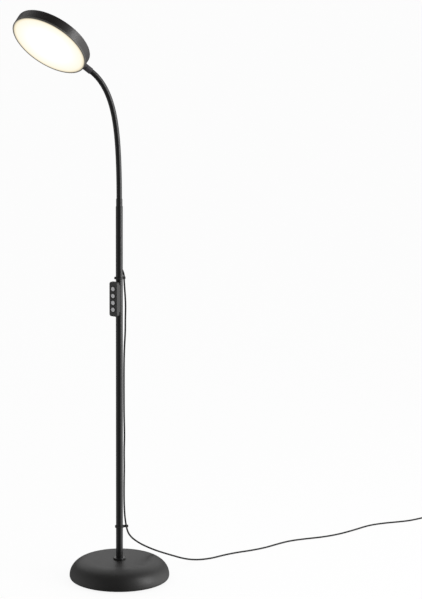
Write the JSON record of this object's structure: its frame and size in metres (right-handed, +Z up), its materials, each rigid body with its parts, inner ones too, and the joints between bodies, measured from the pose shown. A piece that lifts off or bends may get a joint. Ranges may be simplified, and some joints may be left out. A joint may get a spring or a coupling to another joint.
{
  "type": "gooseneck floor lamp",
  "caption": "Black gooseneck reading floor lamp: round weighted base, slim pole, button controller, round lit disc head, cord and plug-in adapter.",
  "frame": {"origin": "centre of the base's underside, on the floor", "axes": "+Z up the pole, -Y to the front, where the gooseneck leans; the controller faces 42 degrees from -Y towards +X"},
  "size_m": [0.5484, 1.2757, 1.3199],
  "materials": {
    "satin_black_metal": "satin powder coat",
    "base_top_black": "satin powder coat",
    "neck_sleeve_black": "smooth satin sleeve",
    "black_plastic": "satin moulded",
    "head_shell_black": "satin moulded",
    "button_grey": "matte moulded",
    "diffuser_white": "frosted, lit from behind",
    "clear_acrylic": "polished edge",
    "reflector_white": "matte white film",
    "led_amber": "phosphor",
    "flex_strip_white": "satin",
    "circuit_green": "solder mask",
    "aluminium_sheet": "mill",
    "zinc_steel": "zinc plated",
    "bare_steel": "cold drawn",
    "cast_iron_grey": "primed",
    "pad_foam": "matte foam",
    "cord_pvc_black": "satin jacket",
    "wire_pvc": "satin",
    "nickel": "nickel plated"
  },
  "bodies": {
    "stand": {"base_pad": "pad_foam", "base_bottom_plate": "zinc_steel", "base_plate_screws": "zinc_steel", "base_weight": "cast_iron_grey", "base_cover": "base_top_black", "base_collar": "satin_black_metal", "base_stud": "bare_steel", "base_nut": "zinc_steel", "pole_lower": "satin_black_metal", "pole_middle": "satin_black_metal", "pole_upper": "satin_black_metal", "pole_foot_insert": "bare_steel", "pole_joiners": "bare_steel", "cord_outlet": "black_plastic", "wiring": "wire_pvc", "neck_lower_ferrule": "satin_black_metal", "control_saddle": "black_plastic", "control_back_shell": "black_plastic", "control_front_cover": "black_plastic", "control_board": "circuit_green", "control_switches": "black_plastic", "control_screws": "zinc_steel", "upper_cord_clip": "black_plastic", "lower_cord_clip": "black_plastic", "cord_pole_run": "cord_pvc_black", "cord_floor_run": "cord_pvc_black", "cord_coil": "cord_pvc_black", "coil_tie": "black_plastic", "adapter_boot": "cord_pvc_black", "adapter_case": "black_plastic", "adapter_cover": "black_plastic", "adapter_pins": "nickel", "converter_board": "circuit_green"},
    "power_button_body": {"power_button": "button_grey"},
    "brighter_button_body": {"brighter_button": "button_grey"},
    "dimmer_button_body": {"dimmer_button": "button_grey"},
    "tone_button_body": {"tone_button": "button_grey"},
    "neck_01": {"gooseneck_link_01": "neck_sleeve_black"},
    "neck_02": {"gooseneck_link_02": "neck_sleeve_black"},
    "neck_03": {"gooseneck_link_03": "neck_sleeve_black"},
    "neck_04": {"gooseneck_link_04": "neck_sleeve_black"},
    "neck_05": {"gooseneck_link_05": "neck_sleeve_black"},
    "neck_06": {"gooseneck_link_06": "neck_sleeve_black"},
    "neck_07": {"gooseneck_link_07": "neck_sleeve_black"},
    "neck_08": {"gooseneck_link_08": "neck_sleeve_black"},
    "neck_09": {"gooseneck_link_09": "neck_sleeve_black"},
    "neck_10": {"gooseneck_link_10": "neck_sleeve_black"},
    "neck_end": {"neck_upper_ferrule": "satin_black_metal"},
    "head": {"head_housing": "head_shell_black", "head_bezel": "head_shell_black", "diffuser": "diffuser_white", "light_guide": "clear_acrylic", "led_strip": "flex_strip_white", "led_chips": "led_amber", "reflector_sheet": "reflector_white", "heat_spreader": "aluminium_sheet", "head_screws": "zinc_steel", "terminal_board": "circuit_green", "head_socket": "satin_black_metal", "socket_nut": "zinc_steel"}
  },
  "joints": [
    {"name": "gooseneck_lower_bend", "type": "hinge", "parent": "stand", "child": "neck_01", "pos_m": [0, 0, 0.89299], "axis": [1, 0, 0], "range_deg": [-14, 14]},
    {"name": "gooseneck_side_bend", "type": "hinge", "parent": "neck_01", "child": "neck_02", "pos_m": [0, -0.00019, 0.92339], "axis": [0, 0.9999, 0.0123], "range_deg": [-9, 9]},
    {"name": "bend_03", "type": "hinge", "parent": "neck_02", "child": "neck_03", "pos_m": [0, -0.00076, 0.95379], "axis": [1, 0, 0], "range_deg": [-14, 14]},
    {"name": "side_04", "type": "hinge", "parent": "neck_03", "child": "neck_04", "pos_m": [0, -0.0018, 0.98417], "axis": [0, 0.9991, 0.0428], "range_deg": [-9, 9]},
    {"name": "bend_05", "type": "hinge", "parent": "neck_04", "child": "neck_05", "pos_m": [0, -0.00349, 1.01453], "axis": [1, 0, 0], "range_deg": [-14, 14]},
    {"name": "side_06", "type": "hinge", "parent": "neck_05", "child": "neck_06", "pos_m": [0, -0.00619, 1.04481], "axis": [0, 0.994, 0.1092], "range_deg": [-9, 9]},
    {"name": "bend_07", "type": "hinge", "parent": "neck_06", "child": "neck_07", "pos_m": [0, -0.01048, 1.0749], "axis": [1, 0, 0], "range_deg": [-8.4, 5.6]},
    {"name": "side_08", "type": "hinge", "parent": "neck_07", "child": "neck_08", "pos_m": [0, -0.01722, 1.10454], "axis": [0, 0.963, 0.2694], "range_deg": [-9, 9]},
    {"name": "gooseneck_upper_bend", "type": "hinge", "parent": "neck_08", "child": "neck_09", "pos_m": [0, -0.02751, 1.13312], "axis": [1, 0, 0], "range_deg": [-21, 14]},
    {"name": "side_10", "type": "hinge", "parent": "neck_09", "child": "neck_10", "pos_m": [0, -0.04262, 1.15943], "axis": [0, 0.8112, 0.5848], "range_deg": [-9, 9]},
    {"name": "bend_11", "type": "hinge", "parent": "neck_10", "child": "neck_end", "pos_m": [0, -0.06364, 1.18126], "axis": [1, 0, 0], "range_deg": [-18.9, 12.6]},
    {"name": "head_turn", "type": "hinge", "parent": "neck_end", "child": "head", "pos_m": [0, -0.0748, 1.18996], "axis": [0, -0.7885, 0.615], "range_deg": [-60, 30]},
    {"name": "power_press", "type": "slide", "parent": "stand", "child": "power_button_body", "axis": [-0.6691, 0.7431, 0], "range_m": [0, 0.0006], "stiffness_N_per_m": 2000, "springref_m": -0.0002},
    {"name": "brighter_press", "type": "slide", "parent": "stand", "child": "brighter_button_body", "axis": [-0.6691, 0.7431, 0], "range_m": [0, 0.0006], "stiffness_N_per_m": 2000, "springref_m": -0.0002},
    {"name": "dimmer_press", "type": "slide", "parent": "stand", "child": "dimmer_button_body", "axis": [-0.6691, 0.7431, 0], "range_m": [0, 0.0006], "stiffness_N_per_m": 2000, "springref_m": -0.0002},
    {"name": "tone_press", "type": "slide", "parent": "stand", "child": "tone_button_body", "axis": [-0.6691, 0.7431, 0], "range_m": [0, 0.0006], "stiffness_N_per_m": 2000, "springref_m": -0.0002}
  ],
  "couplings": [
    {"joint": "bend_03", "follows": "gooseneck_lower_bend", "ratio": 1},
    {"joint": "bend_05", "follows": "gooseneck_lower_bend", "ratio": 1},
    {"joint": "bend_07", "follows": "gooseneck_upper_bend", "ratio": 0.4},
    {"joint": "bend_11", "follows": "gooseneck_upper_bend", "ratio": 0.9},
    {"joint": "side_04", "follows": "gooseneck_side_bend", "ratio": 1},
    {"joint": "side_06", "follows": "gooseneck_side_bend", "ratio": 1},
    {"joint": "side_08", "follows": "gooseneck_side_bend", "ratio": 1},
    {"joint": "side_10", "follows": "gooseneck_side_bend", "ratio": 1}
  ]
}
